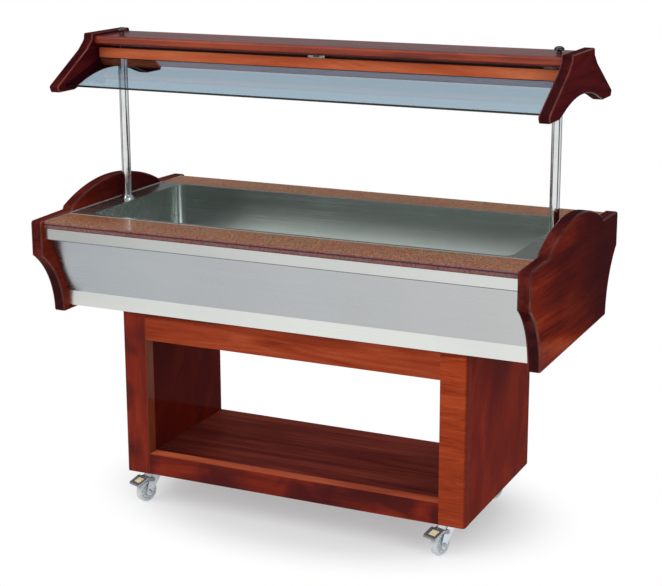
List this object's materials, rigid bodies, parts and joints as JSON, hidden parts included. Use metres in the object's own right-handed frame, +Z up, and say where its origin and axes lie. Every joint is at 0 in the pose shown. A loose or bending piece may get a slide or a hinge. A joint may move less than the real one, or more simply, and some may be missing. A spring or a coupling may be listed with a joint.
{
  "type": "mobile salad bar",
  "caption": "Mobile salad bar on swivel castors: iced steel well with stone edges between shaped wooden cheeks, open wooden base, glazed wooden canopy on steel posts.",
  "frame": {"origin": "centre of the footprint at floor level, midway along the length and the depth", "axes": "+X along the counter to the right as a guest at the front sees it, -Y the front, +Z up"},
  "size_m": [1.5, 0.818, 1.3873],
  "materials": {
    "mahogany": "gloss lacquer over red-brown mahogany",
    "orange_mahogany": "gloss lacquer over orange-brown mahogany",
    "dark_panel": "satin lacquer, dark red-brown",
    "plain_timber": "unfinished softwood and plywood",
    "red_granite": "polished red-brown speckled granite",
    "brushed_stainless": "brushed along the length",
    "satin_fascia": "satin grey stainless",
    "insulation": "rigid foam",
    "chrome": "polished",
    "tinted_glass": "clear, grey-blue tint",
    "white_enamel": "white enamel",
    "lamp_tube": "white phosphor-coated glass",
    "white_plastic": "white",
    "diffuser": "opal acrylic",
    "switch_plate": "satin grey",
    "black_plastic": "gloss black",
    "brass": "plain machined brass",
    "red_lever": "red plastic-coated lever",
    "zinc": "bright zinc plate",
    "castor_wheel": "pale translucent grey polyurethane",
    "pedal_steel": "satin steel, worn"
  },
  "bodies": {
    "cabinet": {"cheek_left": "mahogany", "cheek_right": "mahogany", "stone_front": "red_granite", "stone_rear": "red_granite", "well_liner": "brushed_stainless", "well_insulation": "insulation", "body_floor": "plain_timber", "counter_rails": "plain_timber", "body_battens": "plain_timber", "upper_band_front": "brushed_stainless", "upper_band_rear": "brushed_stainless", "fascia_panel_front": "satin_fascia", "fascia_panel_rear": "satin_fascia", "lower_band_front": "brushed_stainless", "lower_band_rear": "brushed_stainless", "base_stile_left": "orange_mahogany", "base_stile_right": "orange_mahogany", "base_rail_top": "orange_mahogany", "base_rail_bottom": "orange_mahogany", "base_rail_rear": "orange_mahogany", "base_side_left": "mahogany", "base_side_right": "mahogany", "base_shelf": "dark_panel", "base_top": "dark_panel", "post_left": "chrome", "post_right": "chrome", "deck_collars": "chrome", "post_feet": "chrome", "post_seats": "chrome", "canopy_board": "mahogany", "canopy_bracket_left": "mahogany", "canopy_bracket_right": "mahogany", "canopy_rail_front": "orange_mahogany", "canopy_rail_rear": "orange_mahogany", "glass_front": "tinted_glass", "glass_rear": "tinted_glass", "lamp_housing": "white_enamel", "lamp_tube": "lamp_tube", "lamp_holders": "white_plastic", "lamp_diffuser": "diffuser", "switch_plate": "switch_plate", "drain_pipe": "brushed_stainless", "drain_valve": "brass", "castor_plates": "zinc"},
    "lamp_rocker": {"lamp_rocker": "black_plastic"},
    "knob_left": {"knob_left": "black_plastic"},
    "knob_right": {"knob_right": "black_plastic"},
    "drain_lever": {"drain_lever": "red_lever"},
    "false_bottom_left": {"false_bottom_left": "brushed_stainless"},
    "false_bottom_right": {"false_bottom_right": "brushed_stainless"},
    "castor_fork_front_left": {"castor_fork_front_left": "zinc"},
    "castor_fork_front_right": {"castor_fork_front_right": "zinc"},
    "castor_fork_rear_left": {"castor_fork_rear_left": "zinc"},
    "castor_fork_rear_right": {"castor_fork_rear_right": "zinc"},
    "castor_wheel_front_left": {"castor_wheel_front_left": "castor_wheel"},
    "castor_wheel_front_right": {"castor_wheel_front_right": "castor_wheel"},
    "castor_wheel_rear_left": {"castor_wheel_rear_left": "castor_wheel"},
    "castor_wheel_rear_right": {"castor_wheel_rear_right": "castor_wheel"},
    "brake_pedal_left": {"brake_pedal_left": "pedal_steel"},
    "brake_pedal_right": {"brake_pedal_right": "pedal_steel"}
  },
  "joints": [
    {"name": "swivel_front_left", "type": "hinge", "parent": "cabinet", "child": "castor_fork_front_left", "pos_m": [-0.472, -0.226, 0.088], "axis": [0, 0, 1], "continuous": true},
    {"name": "roll_front_left", "type": "hinge", "parent": "castor_fork_front_left", "child": "castor_wheel_front_left", "pos_m": [-0.48363, -0.25795, 0.0325], "axis": [0.9397, -0.342, 0], "continuous": true},
    {"name": "swivel_front_right", "type": "hinge", "parent": "cabinet", "child": "castor_fork_front_right", "pos_m": [0.472, -0.226, 0.088], "axis": [0, 0, 1], "continuous": true},
    {"name": "roll_front_right", "type": "hinge", "parent": "castor_fork_front_right", "child": "castor_wheel_front_right", "pos_m": [0.46037, -0.25795, 0.0325], "axis": [0.9397, -0.342, 0], "continuous": true},
    {"name": "swivel_rear_left", "type": "hinge", "parent": "cabinet", "child": "castor_fork_rear_left", "pos_m": [-0.472, 0.226, 0.088], "axis": [0, 0, 1], "continuous": true},
    {"name": "roll_rear_left", "type": "hinge", "parent": "castor_fork_rear_left", "child": "castor_wheel_rear_left", "pos_m": [-0.48363, 0.19405, 0.0325], "axis": [0.9397, -0.342, 0], "continuous": true},
    {"name": "swivel_rear_right", "type": "hinge", "parent": "cabinet", "child": "castor_fork_rear_right", "pos_m": [0.472, 0.226, 0.088], "axis": [0, 0, 1], "continuous": true},
    {"name": "roll_rear_right", "type": "hinge", "parent": "castor_fork_rear_right", "child": "castor_wheel_rear_right", "pos_m": [0.46037, 0.19405, 0.0325], "axis": [0.9397, -0.342, 0], "continuous": true},
    {"name": "brake_left", "type": "hinge", "parent": "castor_fork_front_left", "child": "brake_pedal_left", "pos_m": [-0.47952, -0.24667, 0.06908], "axis": [0.9397, -0.342, 0], "range_deg": [0, 12]},
    {"name": "brake_right", "type": "hinge", "parent": "castor_fork_front_right", "child": "brake_pedal_right", "pos_m": [0.46448, -0.24667, 0.06908], "axis": [0.9397, -0.342, 0], "range_deg": [0, 12]},
    {"name": "drain_turn", "type": "hinge", "parent": "cabinet", "child": "drain_lever", "pos_m": [0, -0.032, 0.54], "axis": [0, 1, 0], "range_deg": [0, 90]},
    {"name": "lamp_rock", "type": "hinge", "parent": "cabinet", "child": "lamp_rocker", "pos_m": [0, -0.069, 1.3385], "axis": [1, 0, 0], "range_deg": [-8, 8]},
    {"name": "knob_left_turn", "type": "hinge", "parent": "cabinet", "child": "knob_left", "pos_m": [-0.68, 0, 1.37], "axis": [0, 0, 1], "range_deg": [0, 360]},
    {"name": "false_bottom_left_lift", "type": "slide", "parent": "cabinet", "child": "false_bottom_left", "axis": [0, 0, 1], "range_m": [0, 0.3]},
    {"name": "knob_right_turn", "type": "hinge", "parent": "cabinet", "child": "knob_right", "pos_m": [0.68, 0, 1.37], "axis": [0, 0, 1], "range_deg": [0, 360]},
    {"name": "false_bottom_right_lift", "type": "slide", "parent": "cabinet", "child": "false_bottom_right", "axis": [0, 0, 1], "range_m": [0, 0.3]}
  ]
}
